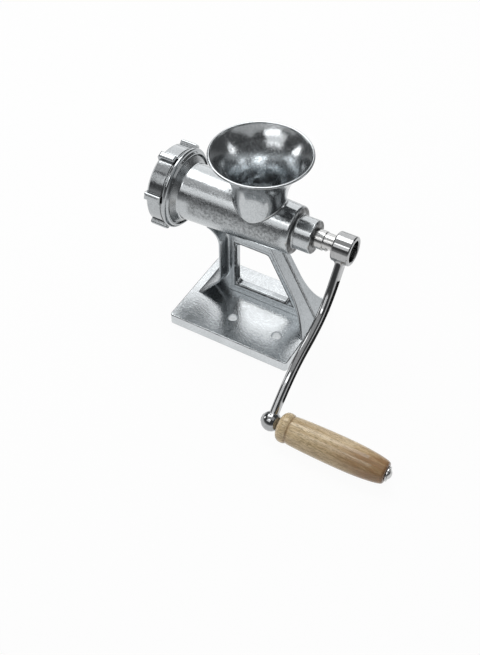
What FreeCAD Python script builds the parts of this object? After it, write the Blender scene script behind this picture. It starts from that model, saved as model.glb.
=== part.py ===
import FreeCAD, Part
import math
import os
from FreeCAD import Vector

os.makedirs("parts", exist_ok=True)

# Hand crank meat grinder on its own foot, in millimetres.
# +X runs along the barrel towards the crank, +Y away from the viewer, +Z up.
# The origin is the middle of the underside of the base plate.

# Base plate
PLATE_L = 117.0
PLATE_W = 86.0
PLATE_T = 10.0
PLATE_EDGE_R = 0.9
BOLT_R = 4.4
BOLT_Y = -18.5
BOLT_X = (-7.8, 35.7)

# Barrel axis and barrel casting
AXIS_Y = 15.0
AXIS_Z = 105.5
COLLAR_X0 = -87.2
COLLAR_X1 = -71.2
COLLAR_R = 30.0
BARREL_X0 = -66.8
BARREL_X1 = 35.5
BARREL_R0 = 25.0
BARREL_R1 = 21.1
BOSS_X1 = 52.0
BOSS_R = 14.6
CHAMBER_R = 28.7
CHAMBER_X1 = -72.0
BORE_X0 = -66.0
BORE_X1 = 29.05
BORE_R0 = 20.6
BORE_R1 = 17.4

# Hopper
HOPPER_X = -1.0
RIM_R = 43.0
RIM_Z = 171.2
NECK_R = 22.4
NECK_FOOT_R = 19.7
NECK_TOP_Z = 131.0
THROAT_R = 16.6
HOPPER_FILLET = 1.6
SEAT_GAP = 0.02

# Stand: a web with one window, edged by two flanges that spread into feet
WEB_T = 8.0
LEG_L_X = -32.5
LEG_L_T = 2.0
LEG_L_KINK_Z = 28.5
LEG_L_KINK_ROUND = 5.0
LEG_L_FOOT_X = -51.0
LEG_L_FOOT_T = 4.2
LEG_L_HALF_W = 15.5
LEG_L_FOOT_HALF_W = 21.5
LEG_R_FOOT_X = 57.4
LEG_R_SLOPE = 0.535
LEG_R_T = 2.4
LEG_R_FRONT_W = 12.8
LEG_R_BACK_W = 6.8
LEG_R_FOOT_FRONT_W = 27.4
LEG_R_FOOT_BACK_W = 26.8
WINDOW = ((-21.4, 19.8), (33.6, 20.8), (9.4, 67.6), (-21.4, 67.6))
WINDOW_R = 4.5
WINDOW_EDGE_R = 2.0
RIDGE_W = 2.2
RIDGE_H = 0.7
CORNER_R = 2.4
BACK_CORNER_R = 1.2
RIM_EDGE_R = 0.7

# Ring nut
RING_X0 = -92.6
RING_X1 = -70.5
RING_R = 34.0
RING_BEAD_R = 35.5
RING_BEAD_X = -74.6
RING_ROLL_R = 2.1
RING_LIP_T = 4.0
RING_MOUTH_R = 24.0
RING_THREAD_R = 31.3
LUG_COUNT = 6
LUG_TOP_R = 38.2
LUG_W = 6.4
LUG_LEN = 15.4
LUG_FIRST_DEG = 14.0

# Cutting plate, knife and key
DIE_X0 = -88.5
DIE_T = 6.0
DIE_R = 28.4
DIE_HOLE_R = 2.5
DIE_RINGS = ((8.3, 6), (14.3, 11), (20.4, 17))
DIE_BORE_R = 4.1
KEY_W = 4.0
KEY_R0 = 26.6
KEY_R1 = 29.4
KNIFE_X0 = -82.4
KNIFE_X1 = -73.4
KNIFE_R = 26.6
KNIFE_HUB_R = 9.6
KNIFE_ARM_W = 11.5
KNIFE_ARM_T = 4.6
SQUARE = 9.4

# Feed screw and its shaft
SCREW_X0 = -73.3
SCREW_X1 = 27.5
SCREW_CORE_R = 9.2
SCREW_PITCH = 27.0
SCREW_GAP = 0.6
FLIGHT_T = 4.6
STUD_SHANK_R = 5.2
PILOT_R = 4.0
SHAFT_ROOT_R = 6.4
JOURNAL_R = 8.4
JOURNAL_X1 = 60.5
DRIVE_R = 7.7
DRIVE_FLAT = 5.9
DRIVE_X1 = 77.0
BUSH_R = 10.9
BUSH_X1 = BOSS_X1 - 3.0
SHAFT_HOLE_R = JOURNAL_R + 0.25
BUSH_FIT = 0.05
WASHER_R = 13.0
WASHER_T = 1.4

# Crank, from the shaft axis to the grip spindle
CRANK_X = 78.0
HUB_R = 12.8
HUB_L = 16.0
HUB_END = CRANK_X + HUB_L / 2
SOCKET_R = 9.2
SOCKET_L = 6.5
CRANK_DY = -120.0
CRANK_DZ = -92.2
ARM_T = 6.6
ARM_W0 = 13.4
ARM_W1 = 10.2
ARM_GROOVE = 1.7
ARM_RIM = 2.5
ARM_ROUND = 2.8
BALL_R = 8.4
BALL_FLAT_X = 85.6
HUB_BLEND = 2.6
BALL_BLEND = 1.6

# Grip and spindle
GRIP_X0 = 86.0
GRIP_X1 = 180.0
GRIP_BORE_R = 3.6
SPINDLE_R = 3.55
END_WASHER_R = 6.2
END_WASHER_T = 1.2
RIVET_R = 4.6
RIVET_H = 2.6

X_DIR = Vector(1, 0, 0)
Y_DIR = Vector(0, 1, 0)
Z_DIR = Vector(0, 0, 1)
AXIS_POINT = Vector(0, AXIS_Y, AXIS_Z)
CRANK_LEN = math.hypot(CRANK_DY, CRANK_DZ)
CRANK_DIR = Vector(0, CRANK_DY / CRANK_LEN, CRANK_DZ / CRANK_LEN)
GRIP_Y = AXIS_Y + CRANK_DY
GRIP_Z = AXIS_Z + CRANK_DZ


def save(shape, name):
    """Tidy one piece and write it as its own node."""
    solid = shape.removeSplitter()
    if len(solid.Solids) != 1 or not solid.isValid():
        raise ValueError(name + " is not one sound solid")
    solid.Solids[0].exportStep("parts/" + name + ".step")
    box = solid.BoundBox
    print(name, round(solid.Volume / 1000.0, 2), "cm3", len(solid.Faces), "faces",
          [round(v, 1) for v in (box.XMin, box.XMax, box.YMin, box.YMax, box.ZMin, box.ZMax)])


def cyl_x(x0, x1, radius, y=AXIS_Y, z=AXIS_Z):
    """A round bar along X."""
    return Part.makeCylinder(radius, x1 - x0, Vector(x0, y, z), X_DIR)


def turn_x(profile, y=AXIS_Y, z=AXIS_Z):
    """Revolve a closed (x, radius) outline about a line along X."""
    points = [Vector(x, y, z + r) for x, r in profile]
    face = Part.Face(Part.makePolygon(points + points[:1]))
    return face.revolve(Vector(0, y, z), X_DIR, 360)


def rims(shape, marks, tol=0.02):
    """Find the circular edges about the barrel axis at the given (x, radius)."""
    found = []
    for edge in shape.Edges:
        if not isinstance(edge.Curve, Part.Circle):
            continue
        for x, r in marks:
            if abs(edge.Curve.Center.x - x) < tol and abs(edge.Curve.Radius - r) < tol:
                found.append(edge)
    return found


def plate_xz(points, half_width, y=AXIS_Y):
    """Extrude a closed (x, z) outline evenly to both sides of a plane across Y."""
    corners = [Vector(x, y - half_width, z) for x, z in points]
    face = Part.Face(Part.makePolygon(corners + corners[:1]))
    return face.extrude(Vector(0, 2 * half_width, 0))


def spline(points):
    """A smooth edge through a few points."""
    curve = Part.BSplineCurve()
    curve.interpolate(points)
    return curve.toShape()


def tangent_arc(start, end, direction):
    """The arc that leaves one point along a given direction and ends at another."""
    chord = end - start
    sag = chord.Length / 2 * math.tan(chord.getAngle(direction) / 2)
    along = chord * (1.0 / chord.Length)
    side = direction - along * along.dot(direction)
    return Part.Arc(start, (start + end) * 0.5 + side.normalize() * sag, end).toShape()


# Base plate: a machined slab with two bolt holes in its front half.
plate = Part.makeBox(PLATE_L, PLATE_W, PLATE_T, Vector(-PLATE_L / 2, -PLATE_W / 2, 0))
plate = plate.makeFillet(3.0, [e for e in plate.Edges if abs(e.tangentAt(0).z) > 0.99])
plate = plate.makeFillet(PLATE_EDGE_R, [e for e in plate.Edges if e.BoundBox.ZMin > PLATE_T - 0.01])
for hole_x in BOLT_X:
    plate = plate.cut(Part.makeCylinder(BOLT_R, PLATE_T + 2, Vector(hole_x, BOLT_Y, -1)))
save(plate, "base_plate")


# Barrel: thread collar, tapered tube and rear boss turned in one outline.
barrel_skin = turn_x([
    (COLLAR_X0, 0), (COLLAR_X0, COLLAR_R - 0.8), (COLLAR_X0 + 0.8, COLLAR_R),
    (COLLAR_X1, COLLAR_R), (BARREL_X0, BARREL_R0), (BARREL_X1, BARREL_R1),
    (BARREL_X1, BOSS_R), (BOSS_X1, BOSS_R), (BOSS_X1, 0)])
barrel_skin = barrel_skin.makeFillet(2.6, rims(barrel_skin, [(BARREL_X0, BARREL_R0), (BARREL_X1, BARREL_R1)]))
barrel_skin = barrel_skin.makeFillet(1.6, rims(barrel_skin, [(BARREL_X1, BOSS_R), (BOSS_X1, BOSS_R)]))
barrel_core = turn_x([
    (COLLAR_X0 - 1, 0), (COLLAR_X0 - 1, CHAMBER_R), (CHAMBER_X1, CHAMBER_R),
    (BORE_X0, BORE_R0), (BORE_X1, BORE_R1), (BORE_X1, BUSH_R), (BUSH_X1, BUSH_R),
    (BUSH_X1, SHAFT_HOLE_R), (BOSS_X1 + 1, SHAFT_HOLE_R), (BOSS_X1 + 1, 0)])
throat = Part.makeCylinder(THROAT_R, RIM_Z - AXIS_Z, Vector(HOPPER_X, AXIS_Y, AXIS_Z))
key = Part.makeBox(DIE_X0 + DIE_T - COLLAR_X0 - 0.5, KEY_W, KEY_R1 - KEY_R0,
                   Vector(COLLAR_X0, AXIS_Y - KEY_W / 2, AXIS_Z + KEY_R0))
barrel = barrel_skin.cut(barrel_core).cut(throat).cut(key)
save(barrel, "barrel")
save(key, "plate_key")


# Hopper: a bell drawn as one smooth wall, seated on the barrel with a fillet.
def hopper_point(radius, z):
    return Vector(HOPPER_X + radius, AXIS_Y, z)


LIP = 1.25
THROAT_TOP_R = 19.2
NECK_DRAFT = (NECK_R - NECK_FOOT_R) / (NECK_TOP_Z - AXIS_Z)
THROAT_DRAFT = (THROAT_TOP_R - THROAT_R) / (NECK_TOP_Z - AXIS_Z)
outer_wall = tangent_arc(hopper_point(NECK_R, NECK_TOP_Z), hopper_point(RIM_R, RIM_Z - LIP),
                         Vector(NECK_DRAFT, 0, 1).normalize())
lip_arc = Part.Arc(hopper_point(RIM_R, RIM_Z - LIP), hopper_point(RIM_R - LIP, RIM_Z),
                   hopper_point(RIM_R - 2 * LIP, RIM_Z - LIP)).toShape()
inner_wall = tangent_arc(hopper_point(THROAT_TOP_R, NECK_TOP_Z), hopper_point(RIM_R - 2 * LIP, RIM_Z - LIP),
                         Vector(THROAT_DRAFT, 0, 1).normalize())
foot = [hopper_point(r, z) for r, z in (
    (THROAT_TOP_R, NECK_TOP_Z), (THROAT_R, AXIS_Z), (NECK_FOOT_R, AXIS_Z), (NECK_R, NECK_TOP_Z))]
hopper_edges = [outer_wall, lip_arc, inner_wall] + [Part.makeLine(a, b) for a, b in zip(foot, foot[1:])]
hopper_face = Part.Face(Part.Wire(Part.__sortEdges__(hopper_edges)))
bell = hopper_face.revolve(Vector(HOPPER_X, AXIS_Y, 0), Z_DIR, 360)
joined = bell.fuse(barrel_skin).removeSplitter()


def on_neck(point):
    """True where a point lies on the tapered outside of the neck."""
    radius = math.hypot(point.x - HOPPER_X, point.y - AXIS_Y)
    return abs(radius - NECK_FOOT_R - NECK_DRAFT * (point.z - AXIS_Z)) < 0.05


def on_barrel(point):
    """True where a point lies on the outside of the tapered tube."""
    radius = math.hypot(point.y - AXIS_Y, point.z - AXIS_Z)
    return BARREL_R1 - 0.5 < radius < BARREL_R0 + 0.5


def seat_edges(shape):
    """The saddle line where the neck's outside meets the barrel."""
    found = []
    for edge in shape.Edges:
        marks = edge.discretize(5)
        if all(on_neck(mark) and on_barrel(mark) for mark in marks):
            found.append(edge)
    return found


seated = joined.makeFillet(HOPPER_FILLET, seat_edges(joined))
hopper = seated.cut(barrel_skin)
hopper.translate(Z_DIR * SEAT_GAP)
save(hopper, "hopper")


# Stand: web with a window, a bent left flange, a slanted right flange, both with spread feet.
TOP_Z = AXIS_Z - 6.0


def leg_r_x(z):
    """Outer face of the slanted right leg."""
    return LEG_R_FOOT_X - LEG_R_SLOPE * (z - PLATE_T)


FLARE_Z = 71.0
FLARE_R = 15.0
flare_mid = math.radians(38.0)
flare_end = math.radians(76.0)


def flare_point(radius, angle):
    """Round bend that carries the left flange out under the barrel."""
    return Vector(LEG_L_X - FLARE_R + radius * math.cos(angle), 0, FLARE_Z + radius * math.sin(angle))


def leg_l_edge(shift, foot_shift, radius):
    """One side of the left flange from the plate up to the barrel: its two ends and its edges."""
    foot = Vector(LEG_L_FOOT_X + foot_shift, 0, PLATE_T)
    kink = Vector(LEG_L_X + shift, 0, LEG_L_KINK_Z - 0.35 * shift)
    slope = (kink - foot).normalize()
    low = kink - slope * LEG_L_KINK_ROUND
    high = kink + Z_DIR * LEG_L_KINK_ROUND
    flare = flare_point(radius, 0.0)
    end = flare_point(radius, flare_end)
    bend = Part.Arc(flare, flare_point(radius, flare_mid), end).toShape()
    edges = [Part.makeLine(foot, low), tangent_arc(low, high, slope), Part.makeLine(high, flare), bend]
    return foot, end, edges


def flange_front(front, back, x0, x1):
    """A flange seen end on, extruded along X.

    Each side is (half width, z) at the foot, the bend and the top: straight, then curving out into the foot.
    """
    edges = []
    corners = []
    for turn, side in ((-1, front), (1, back)):
        low, mid, high = [Vector(x0, AXIS_Y + turn * w, z) for w, z in side]
        edges += [tangent_arc(mid, low, (mid - high).normalize()), Part.makeLine(mid, high)]
        corners.append((low, high))
    for one, other in zip(*corners):
        edges.append(Part.makeLine(one, other))
    return Part.Face(Part.Wire(Part.__sortEdges__(edges))).extrude(Vector(x1 - x0, 0, 0))


MID_R = FLARE_R + LEG_L_T / 2
bend_mid = [flare_point(MID_R, flare_end * part / 4.0) for part in (4, 3, 2, 1, 0)]
web = plate_xz([
    (LEG_L_FOOT_X + LEG_L_FOOT_T / 2, PLATE_T), (leg_r_x(PLATE_T) - LEG_R_T / 2, PLATE_T),
    (leg_r_x(TOP_Z) - LEG_R_T / 2, TOP_Z),
    (bend_mid[0].x, TOP_Z)] + [(point.x, point.z) for point in bend_mid]
    + [(LEG_L_X + 0.1, LEG_L_KINK_Z)], WEB_T / 2)
window = plate_xz(WINDOW, WEB_T)
window = window.makeFillet(WINDOW_R, [e for e in window.Edges if abs(e.tangentAt(0).y) > 0.99])
web = web.cut(window)

out_foot, out_end, out_edges = leg_l_edge(0.0, 0.0, FLARE_R)
in_foot, in_end, in_edges = leg_l_edge(LEG_L_T, LEG_L_FOOT_T, FLARE_R + LEG_L_T)
caps = [Part.makeLine(out_foot, in_foot), Part.makeLine(out_end, in_end)]
strip = Part.Face(Part.Wire(Part.__sortEdges__(out_edges + in_edges + caps)))
strip = strip.extrude(Vector(0, 80, 0))
strip.translate(Vector(0, AXIS_Y - 40, 0))
left_side = ((LEG_L_FOOT_HALF_W, PLATE_T), (LEG_L_HALF_W - 0.3, 34.0), (LEG_L_HALF_W + 0.4, TOP_Z))
left_leg = strip.common(flange_front(left_side, left_side, -70.0, -20.0))

right_strip = plate_xz([
    (leg_r_x(PLATE_T), PLATE_T), (leg_r_x(TOP_Z), TOP_Z),
    (leg_r_x(TOP_Z) - LEG_R_T, TOP_Z), (leg_r_x(PLATE_T) - LEG_R_T, PLATE_T)], 40.0)
right_front = ((LEG_R_FOOT_FRONT_W, PLATE_T), (LEG_R_FRONT_W + 0.4, 46.0), (LEG_R_FRONT_W - 0.4, TOP_Z))
right_back = ((LEG_R_FOOT_BACK_W, PLATE_T), (LEG_R_BACK_W + 0.8, 50.0), (LEG_R_BACK_W - 0.4, TOP_Z))
right_leg = right_strip.common(flange_front(right_front, right_back, 0.0, 70.0))
ridge = plate_xz([
    (leg_r_x(PLATE_T) - 1.0, PLATE_T), (leg_r_x(PLATE_T) + RIDGE_H, PLATE_T),
    (leg_r_x(TOP_Z) + RIDGE_H, TOP_Z), (leg_r_x(TOP_Z) - 1.0, TOP_Z)], RIDGE_W / 2)

stand = web.fuse([left_leg, right_leg]).removeSplitter()


def web_edges(shape):
    """Edges in the faces of the web: inner corners, the tight rear right corner, and window rims."""
    corners = []
    tight = []
    window_rims = []
    for edge in shape.Edges:
        marks = edge.discretize(5)
        if max(abs(abs(mark.y - AXIS_Y) - WEB_T / 2) for mark in marks) > 0.01:
            continue
        middle = marks[2]
        if middle.z < PLATE_T + 0.01 or middle.z > TOP_Z - 0.01:
            continue
        on_left = middle.x < LEG_L_X + LEG_L_T + 0.1
        on_right = middle.x > leg_r_x(middle.z) - LEG_R_T - 0.1
        if not on_left and not on_right:
            window_rims.append(edge)
        elif edge.Length > 15.0:
            group = tight if on_right and middle.y > AXIS_Y else corners
            group.append(edge)
    return corners, tight, window_rims


def flange_edges(shape):
    """Long free edges down the front and back of both flanges."""
    found = []
    for edge in shape.Edges:
        marks = edge.discretize(5)
        if min(abs(mark.y - AXIS_Y) for mark in marks) > WEB_T / 2 + 1.5 and edge.Length > 15.0:
            found.append(edge)
    return found


stand = stand.makeFillet(RIM_EDGE_R, flange_edges(stand))
stand = stand.makeFillet(CORNER_R, web_edges(stand)[0])
stand = stand.makeFillet(BACK_CORNER_R, web_edges(stand)[1])
stand = stand.makeFillet(WINDOW_EDGE_R, web_edges(stand)[2])
stand = stand.fuse(ridge).removeSplitter()
stand = stand.cut(barrel_skin)
above = Part.makeBox(200, 100, 100, Vector(-100, AXIS_Y - 50, AXIS_Z - 14.0))
stand = stand.cut(above)
save(stand, "stand")


# Ring nut: turned shell with a rolled rear bead and six grip lugs.
ring = turn_x([
    (RING_X0, RING_MOUTH_R), (RING_X0, RING_R - 2.2), (RING_X0 + 2.2, RING_R),
    (RING_BEAD_X - 3.6, RING_R), (RING_BEAD_X - 3.2, RING_R - 0.6), (RING_BEAD_X - 1.5, RING_R - 0.6),
    (RING_BEAD_X + 1.5, RING_R - 0.4), (RING_X1, RING_THREAD_R + 1.0), (RING_X1, RING_THREAD_R),
    (RING_X0 + RING_LIP_T, RING_THREAD_R), (RING_X0 + RING_LIP_T, RING_MOUTH_R)])
ring = ring.makeChamfer(1.2, rims(ring, [(RING_X0, RING_MOUTH_R)]))
bead = Part.makeTorus(RING_BEAD_R - RING_ROLL_R, RING_ROLL_R, Vector(RING_BEAD_X, AXIS_Y, AXIS_Z), X_DIR)
ring = ring.fuse(bead).cut(cyl_x(RING_X0 + RING_LIP_T, RING_X1 + 1, RING_THREAD_R))
lug = Part.makeBox(LUG_LEN, LUG_W, LUG_TOP_R - RING_R + 1.6,
                   Vector(RING_X0 + 0.4, AXIS_Y - LUG_W / 2, AXIS_Z + RING_R - 1.6))
lug = lug.makeFillet(1.9, [e for e in lug.Edges if e.BoundBox.ZMin > AXIS_Z + LUG_TOP_R - 0.01])
lugs = []
for step in range(LUG_COUNT):
    one = lug.copy()
    one.rotate(AXIS_POINT, X_DIR, LUG_FIRST_DEG + step * 360.0 / LUG_COUNT)
    lugs.append(one)
ring = ring.fuse(lugs)
save(ring, "ring_nut")


# Cutting plate: rings of holes, a centre bearing and a key notch.
die = cyl_x(DIE_X0, DIE_X0 + DIE_T, DIE_R).cut(cyl_x(DIE_X0 - 1, DIE_X0 + DIE_T + 1, DIE_BORE_R))
die = die.makeChamfer(0.5, rims(die, [(DIE_X0, DIE_R), (DIE_X0 + DIE_T, DIE_R)]))
drills = []
for ring_r, count in DIE_RINGS:
    for step in range(count):
        angle = 2 * math.pi * (step + 0.5) / count
        drills.append(cyl_x(DIE_X0 - 1, DIE_X0 + DIE_T + 1, DIE_HOLE_R,
                            AXIS_Y + ring_r * math.sin(angle), AXIS_Z + ring_r * math.cos(angle)))
notch = Part.makeBox(DIE_T + 2, KEY_W + 0.6, 6.0,
                     Vector(DIE_X0 - 1, AXIS_Y - KEY_W / 2 - 0.3, AXIS_Z + KEY_R0 - 0.3))
die = die.cut(drills).cut(notch)
save(die, "cutting_plate")


# Cross knife: four raked blades on a square-holed hub.
blade = Part.makePolygon([
    Vector(KNIFE_X0, 0, 0), Vector(KNIFE_X0, KNIFE_ARM_W, 0), Vector(KNIFE_X0 + 1.2, KNIFE_ARM_W, 0),
    Vector(KNIFE_X0 + KNIFE_ARM_T, KNIFE_ARM_W * 0.62, 0), Vector(KNIFE_X0 + KNIFE_ARM_T, 1.6, 0),
    Vector(KNIFE_X0, 0, 0)])
blade = Part.Face(blade).extrude(Vector(0, 0, KNIFE_R + 4))
blade.translate(Vector(0, AXIS_Y - KNIFE_ARM_W * 0.45, AXIS_Z))
blades = []
for step in range(4):
    one = blade.copy()
    one.rotate(AXIS_POINT, X_DIR, 45.0 + 90.0 * step)
    blades.append(one)
knife = cyl_x(KNIFE_X0, KNIFE_X1, KNIFE_HUB_R).fuse(blades)
knife = knife.common(cyl_x(KNIFE_X0, KNIFE_X1, KNIFE_R))
square_hole = Part.makeBox(20, SQUARE, SQUARE, Vector(KNIFE_X0 - 5, AXIS_Y - SQUARE / 2, AXIS_Z - SQUARE / 2))
knife = knife.cut(square_hole)
save(knife, "cross_knife")


# Knife stud: round shank in the feed screw, square drive, pilot pin in the cutting plate.
stud = Part.makeBox(KNIFE_X1 - KNIFE_X0 - 0.1, SQUARE, SQUARE,
                    Vector(KNIFE_X0 + 0.1, AXIS_Y - SQUARE / 2, AXIS_Z - SQUARE / 2))
stud = stud.common(cyl_x(KNIFE_X0, KNIFE_X1, SQUARE * 0.66))
stud = stud.fuse([cyl_x(KNIFE_X1, SCREW_X0 + 26, STUD_SHANK_R), cyl_x(DIE_X0 + 0.4, KNIFE_X0 + 1, PILOT_R)])
stud = stud.makeChamfer(0.6, rims(stud, [(DIE_X0 + 0.4, PILOT_R), (SCREW_X0 + 26, STUD_SHANK_R)]))
save(stud, "knife_stud")


# Feed screw: one helical flight that follows the tapered bore, on a plain core.
FLIGHT_X0 = BORE_X0 + 0.5
FLIGHT_X1 = SCREW_X1 - 4.0


def bore_r(x):
    """Bore radius at a place along the barrel."""
    part = (x - BORE_X0) / (BORE_X1 - BORE_X0)
    return BORE_R0 + part * (BORE_R1 - BORE_R0)


path = Part.makeLongHelix(SCREW_PITCH, FLIGHT_X1 - FLIGHT_X0, SCREW_CORE_R, 0, False)
root = SCREW_CORE_R - 2.0
tip = BORE_R0 + 3.0
rib = Part.makePolygon([
    Vector(root, 0, -FLIGHT_T * 0.75), Vector(tip, 0, -FLIGHT_T * 0.28), Vector(tip, 0, FLIGHT_T * 0.28),
    Vector(root, 0, FLIGHT_T * 0.75), Vector(root, 0, -FLIGHT_T * 0.75)])
flight = Part.Wire(path.Edges).makePipeShell([rib], True, True)
flight.rotate(Vector(0, 0, 0), Y_DIR, 90)
flight.translate(Vector(FLIGHT_X0, AXIS_Y, AXIS_Z))
envelope = turn_x([
    (FLIGHT_X0, 0), (FLIGHT_X0, bore_r(FLIGHT_X0) - SCREW_GAP),
    (FLIGHT_X1, bore_r(FLIGHT_X1) - SCREW_GAP), (FLIGHT_X1, 0)])
flight = flight.common(envelope)
screw = cyl_x(SCREW_X0, SCREW_X1, SCREW_CORE_R).fuse(flight)
screw = screw.fuse(cyl_x(SCREW_X1 - 4.0, SCREW_X1, WASHER_R))
screw = screw.cut(cyl_x(SCREW_X0 - 1, SCREW_X0 + 26, STUD_SHANK_R))
screw = screw.cut(cyl_x(SCREW_X1 - 28, SCREW_X1 + 1, SHAFT_ROOT_R))
save(screw, "feed_screw")


# Drive shaft: root pressed in the screw, journal in the bush, flatted end for the crank.
shaft = cyl_x(SCREW_X1 - 28, SCREW_X1, SHAFT_ROOT_R).fuse(
    [cyl_x(SCREW_X1, JOURNAL_X1, JOURNAL_R), cyl_x(JOURNAL_X1, DRIVE_X1, DRIVE_R)])
shaft = shaft.makeChamfer(0.5, rims(shaft, [(JOURNAL_X1, JOURNAL_R), (DRIVE_X1, DRIVE_R)]))
flat = Part.makeBox(30, 40, 10, Vector(0, -20, DRIVE_FLAT))
flat_turn = -math.degrees(math.atan2(CRANK_DIR.y, CRANK_DIR.z))
flat.rotate(Vector(0, 0, 0), X_DIR, flat_turn)
flat.translate(Vector(JOURNAL_X1 + 3.0, AXIS_Y, AXIS_Z))
save(shaft.cut(flat), "drive_shaft")

bush = cyl_x(BORE_X1, BUSH_X1, BUSH_R).cut(cyl_x(BORE_X1 - 1, BOSS_X1 + 1, JOURNAL_R + BUSH_FIT))
save(bush, "shaft_bush")

washer = cyl_x(SCREW_X1, SCREW_X1 + WASHER_T, WASHER_R).cut(cyl_x(SCREW_X1 - 1, BORE_X1, JOURNAL_R))
save(washer, "thrust_washer")


# Crank: hub, S-curved arm of H section and ball end.
def crank_yz(dy, dz, x=CRANK_X):
    return Vector(x, AXIS_Y + dy, AXIS_Z + dz)


ARM_BEND = ((0, 0), (-15.0, -22.0), (-39.5, -46.8), (-76.0, -61.0), (-105.0, -79.2), (CRANK_DY, CRANK_DZ))
arm_curve = Part.BSplineCurve()
arm_curve.interpolate([crank_yz(dy, dz, 0.0) for dy, dz in ARM_BEND])
ARM_STATIONS = 7


def arm_outline(start, stop, inset, x):
    """Closed outline on both sides of the arm's centre line, drawn in at the sides by inset."""
    low = []
    high = []
    for step in range(ARM_STATIONS):
        part = start + (stop - start) * step / (ARM_STATIONS - 1)
        where = arm_curve.value(arm_curve.FirstParameter
                                + part * (arm_curve.LastParameter - arm_curve.FirstParameter))
        along = Vector(*arm_curve.tangent(arm_curve.parameter(where))[0])
        side = along.cross(X_DIR).normalize()
        half = (ARM_W0 + (ARM_W1 - ARM_W0) * part) / 2 - inset
        low.append(where + side * half)
        high.append(where - side * half)
    edges = [spline(low), spline(high), Part.makeLine(low[0], high[0])]
    if inset > 0:
        tip_point = (low[-1] + high[-1]) * 0.5 + along.normalize() * half
        edges.append(Part.Arc(low[-1], tip_point, high[-1]).toShape())
    else:
        edges.append(Part.makeLine(low[-1], high[-1]))
    face = Part.Face(Part.Wire(Part.__sortEdges__(edges)))
    face.translate(Vector(x, 0, 0))
    return face


arm = arm_outline(0.03, 0.985, 0.0, CRANK_X - ARM_T / 2).extrude(Vector(ARM_T, 0, 0))
long_edges = [e for e in arm.Edges if e.Length > 100]
arm = arm.makeFillet(ARM_ROUND, long_edges)
groove_depth = Vector(ARM_GROOVE + 1, 0, 0)
groove = arm_outline(0.175, 0.87, ARM_RIM, CRANK_X + ARM_T / 2 - ARM_GROOVE).extrude(groove_depth)
back_groove = arm_outline(0.175, 0.87, ARM_RIM, CRANK_X - ARM_T / 2 - 1).extrude(groove_depth)
arm = arm.cut([groove, back_groove])
hub = cyl_x(CRANK_X - HUB_L / 2, CRANK_X + HUB_L / 2, HUB_R)
hub = hub.makeFillet(1.4, rims(hub, [(CRANK_X - HUB_L / 2, HUB_R), (CRANK_X + HUB_L / 2, HUB_R)]))
ball = Part.makeSphere(BALL_R, Vector(CRANK_X, GRIP_Y, GRIP_Z))
ball = ball.common(Part.makeBox(40, 40, 40, Vector(BALL_FLAT_X - 40, GRIP_Y - 20, GRIP_Z - 20)))
crank = arm.fuse([hub, ball]).removeSplitter()


def hub_gap(point):
    """How far a point is from the hub's round side."""
    return abs(math.hypot(point.y - AXIS_Y, point.z - AXIS_Z) - HUB_R)


def ball_gap(point):
    """How far a point is from the ball."""
    return abs((point - Vector(CRANK_X, GRIP_Y, GRIP_Z)).Length - BALL_R)


def meeting_edges(shape, gap):
    """The edges where the arm runs into one of its round ends."""
    found = []
    for edge in shape.Edges:
        if edge.Degenerated or edge.Length < 0.01:
            continue
        if all(gap(mark) < 0.02 and abs(mark.x - CRANK_X) < ARM_T / 2 + 0.01 for mark in edge.discretize(5)):
            found.append(edge)
    return found


crank = crank.makeFillet(HUB_BLEND, meeting_edges(crank, hub_gap))
crank = crank.makeFillet(BALL_BLEND, meeting_edges(crank, ball_gap))
d_hole = cyl_x(CRANK_X - HUB_L, CRANK_X + HUB_L, DRIVE_R)
flat_hole = Part.makeBox(60, 40, 10, Vector(-30, -20, DRIVE_FLAT))
flat_hole.rotate(Vector(0, 0, 0), X_DIR, flat_turn)
flat_hole.translate(Vector(CRANK_X, AXIS_Y, AXIS_Z))
crank = crank.cut(d_hole.cut(flat_hole))
crank = crank.cut(turn_x([
    (HUB_END - SOCKET_L, 0), (HUB_END - SOCKET_L, SOCKET_R), (HUB_END - 0.6, SOCKET_R),
    (HUB_END, SOCKET_R + 0.6), (HUB_END + 1, SOCKET_R + 0.6), (HUB_END + 1, 0)]))
crank = crank.cut(cyl_x(CRANK_X - 20, CRANK_X + 20, SPINDLE_R, GRIP_Y, GRIP_Z))
save(crank, "crank_arm")


# Grip: turned wood with a rounded bead, a groove and a swelling palm, free on a riveted spindle.
grip_line = [
    (GRIP_X0 + 0.2, 9.4), (GRIP_X0 + 2.0, 11.7), (GRIP_X0 + 5.2, 12.7), (GRIP_X0 + 8.6, 12.2),
    (GRIP_X0 + 10.0, 11.2)]
palm_line = [
    (GRIP_X0 + 10.0, 11.2), (GRIP_X0 + 12.2, 12.0), (GRIP_X0 + 24.0, 12.7), (GRIP_X0 + 40.0, 12.9),
    (GRIP_X0 + 56.0, 12.4), (GRIP_X0 + 72.0, 11.2), (GRIP_X0 + 86.5, 9.8)]
end_line = [(GRIP_X0 + 86.5, 9.8), (GRIP_X0 + 87.6, 9.4), (GRIP_X0 + 90.6, 9.8), (GRIP_X1 - 0.2, 7.4)]


def grip_points(line):
    return [Vector(x, GRIP_Y, GRIP_Z + r) for x, r in line]


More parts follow.
